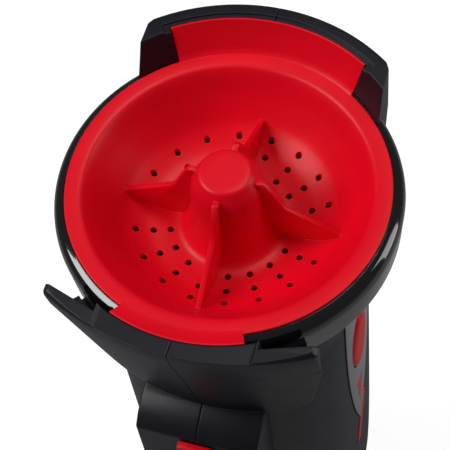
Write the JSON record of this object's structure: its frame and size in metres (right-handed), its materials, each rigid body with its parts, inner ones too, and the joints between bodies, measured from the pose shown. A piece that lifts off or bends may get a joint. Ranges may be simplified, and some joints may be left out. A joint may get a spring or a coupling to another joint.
{
  "type": "handheld vacuum",
  "caption": "Cordless handheld vacuum body, dust cup off, with a finned red filter funnel in its mouth, side release buttons, a loop handle and a motor, fan and battery inside.",
  "frame": {"origin": "middle of the flat pad under the tail, on which the body stands", "axes": "+Z along the motor axis towards the suction mouth, +Y towards the hood side, -Y towards the handle, +X and -X out of the glossy side panels"},
  "size_m": [0.12, 0.1753, 0.302],
  "materials": {
    "matte_black": "fine satin texture, charcoal black",
    "gloss_black": "polished piano black",
    "red": "satin saturated red",
    "rubber": "matt black rubber",
    "inner_black": "plain moulded dark grey",
    "lens": "clear moulded plastic",
    "paper": "matt white filter paper",
    "cell_wrap": "blue film wrap over a metal can",
    "board": "green solder mask",
    "steel": "zinc-plated steel",
    "dark_steel": "dark laminated steel",
    "bronze": "sintered bronze"
  },
  "bodies": {
    "body": {"housing_right": "matte_black", "housing_left": "matte_black", "front_ring": "gloss_black", "filter_seat": "inner_black", "fan_cover": "inner_black", "motor_can": "steel", "motor_magnets": "dark_steel", "bearing_front": "bronze", "bearing_rear": "bronze", "motor_end_cap": "inner_black", "motor_mount": "rubber", "cell_tray_lower": "inner_black", "cell_tray_upper": "inner_black", "circuit_board": "board", "charge_socket": "inner_black", "slide_switch": "inner_black", "charge_light": "lens", "grip_pad": "rubber", "side_panel_right": "gloss_black", "side_panel_left": "gloss_black", "dart_right": "red", "dart_left": "red", "flash_right": "red", "flash_left": "red", "button_spring_right": "steel", "button_spring_left": "steel", "tail_cap": "matte_black", "base_pad": "rubber", "cell_1": "cell_wrap", "cell_2": "cell_wrap", "cell_3": "cell_wrap", "cell_4": "cell_wrap", "housing_screw_1": "steel", "housing_screw_2": "steel", "housing_screw_3": "steel", "housing_screw_4": "steel", "housing_screw_5": "steel", "housing_screw_6": "steel"},
    "rotor": {"impeller": "inner_black", "motor_shaft": "steel", "shaft_nut": "steel", "armature": "dark_steel"},
    "filter_assembly": {"filter_funnel": "red", "filter_seal": "rubber", "pleated_filter": "paper", "filter_end_plate": "inner_black"},
    "power_switch": {"power_slider": "red"},
    "button_right": {"release_button_right": "red"},
    "button_left": {"release_button_left": "red"}
  },
  "joints": [
    {"name": "rotor_spin", "type": "hinge", "parent": "body", "child": "rotor", "pos_m": [0, 0, 0.12], "axis": [0, 0, 1], "continuous": true},
    {"name": "filter_lift", "type": "slide", "parent": "body", "child": "filter_assembly", "axis": [0, 0, 1], "range_m": [0, 0.09]},
    {"name": "power_slide", "type": "slide", "parent": "body", "child": "power_switch", "axis": [0, 0, -1], "range_m": [0, 0.005]},
    {"name": "release_right", "type": "slide", "parent": "body", "child": "button_right", "axis": [-1, 0, 0], "range_m": [0, 0.003], "stiffness_N_per_m": 300, "springref_m": -0.003, "deforming": ["button_spring_right"]},
    {"name": "release_left", "type": "slide", "parent": "body", "child": "button_left", "axis": [1, 0, 0], "range_m": [0, 0.003], "stiffness_N_per_m": 300, "springref_m": -0.003, "deforming": ["button_spring_left"]}
  ]
}
